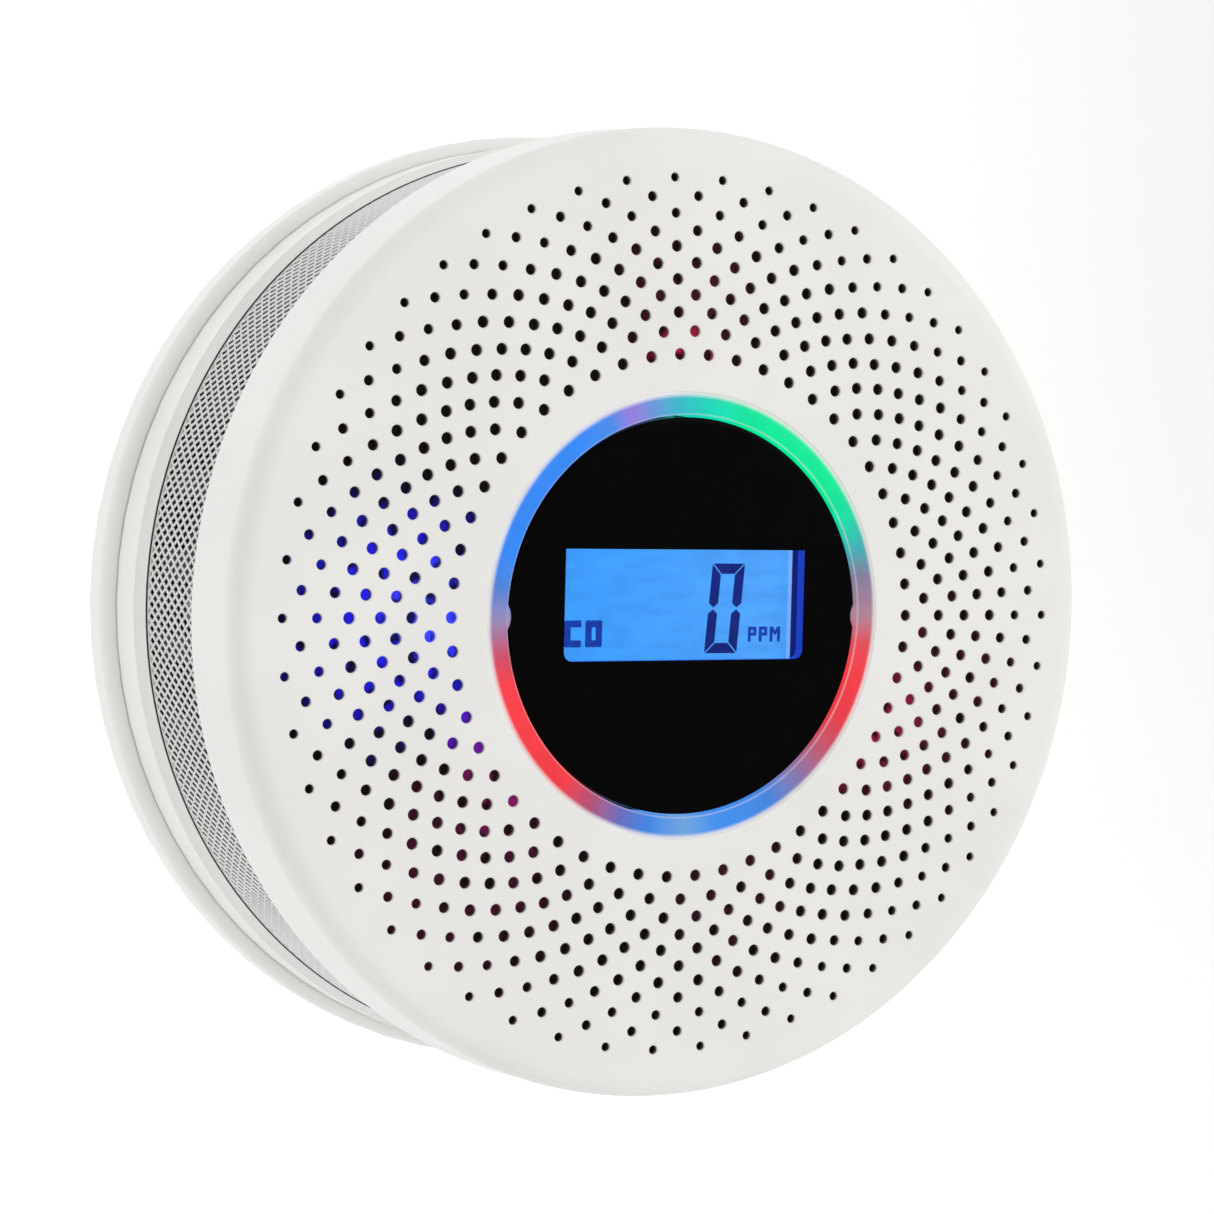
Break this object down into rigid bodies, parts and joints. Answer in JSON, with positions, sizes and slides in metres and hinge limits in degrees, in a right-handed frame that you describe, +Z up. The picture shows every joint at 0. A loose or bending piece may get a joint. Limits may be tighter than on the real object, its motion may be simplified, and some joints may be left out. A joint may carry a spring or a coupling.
{
  "type": "carbon monoxide detector",
  "caption": "Round wall-mounted gas alarm with a perforated face, a ring of light around a press-to-test display, a side mesh and a twist-off back plate.",
  "frame": {"origin": "centre of the mounting plate's back face, which lies on the wall", "axes": "+Y into the wall, the face looks along -Y, +Z is up with the display upright, +X is to the right of someone facing it"},
  "size_m": [0.123, 0.0439, 0.123],
  "materials": {
    "white_plastic": "matte moulded, warm white",
    "mesh_metal": "fine light grey wire mesh",
    "grey_plastic": "matte",
    "black_gloss": "polished, with a clear window",
    "black_plastic": "matte",
    "light_guide": "frosted, lit from behind",
    "display_glass": "blue lit liquid crystal cell",
    "backlight_white": "diffusing block",
    "board_green": "solder-masked fibreglass",
    "led_white": "satin",
    "steel": "plain",
    "nickel": "nickel plated",
    "cell_wrap": "printed sleeve, no marks"
  },
  "bodies": {
    "mounting_plate": {"mounting_plate": "white_plastic"},
    "head": {"rear_housing": "white_plastic", "mesh_band": "mesh_metal", "vent_cage": "grey_plastic", "front_cover": "white_plastic", "light_ring": "light_guide", "switch_body_1": "black_plastic", "switch_body_2": "black_plastic", "lcd_glass": "display_glass", "lcd_backlight": "backlight_white", "main_board": "board_green", "display_board": "board_green", "co_sensor": "steel", "sounder": "black_plastic", "controller_chip": "black_plastic", "capacitor": "steel", "battery_connector": "led_white", "contact_link_left": "nickel", "contact_minus": "nickel", "contact_plus": "nickel", "contact_link_right": "nickel", "battery_1": "cell_wrap", "contact_spring_1": "nickel", "board_screw_1": "steel", "board_spacer_1": "grey_plastic", "battery_2": "cell_wrap", "contact_spring_2": "nickel", "board_screw_2": "steel", "board_spacer_2": "grey_plastic", "battery_3": "cell_wrap", "contact_spring_3": "nickel", "board_screw_3": "steel", "board_spacer_3": "grey_plastic", "cover_screw_1": "steel", "cover_screw_2": "steel", "cover_screw_3": "steel", "cover_screw_4": "steel", "ring_led_01": "led_white", "ring_led_02": "led_white", "ring_led_03": "led_white", "ring_led_04": "led_white", "ring_led_05": "led_white", "ring_led_06": "led_white", "ring_led_07": "led_white", "ring_led_08": "led_white", "ring_led_09": "led_white", "ring_led_10": "led_white", "ring_led_11": "led_white", "ring_led_12": "led_white"},
    "battery_door": {"battery_door": "white_plastic"},
    "test_button": {"display_lens": "black_gloss", "button_carrier": "black_plastic", "switch_stem_1": "grey_plastic", "switch_stem_2": "grey_plastic"}
  },
  "joints": [
    {"name": "head_twist", "type": "hinge", "parent": "mounting_plate", "child": "head", "pos_m": [0, 0, 0], "axis": [0, -1, 0], "range_deg": [0, 18]},
    {"name": "door_hinge", "type": "hinge", "parent": "head", "child": "battery_door", "pos_m": [0, -0.0069, 0.02515], "axis": [1, 0, 0], "range_deg": [0, 95]},
    {"name": "button_press", "type": "slide", "parent": "head", "child": "test_button", "axis": [0, 1, 0], "range_m": [0, 0.001], "stiffness_N_per_m": 2500}
  ]
}
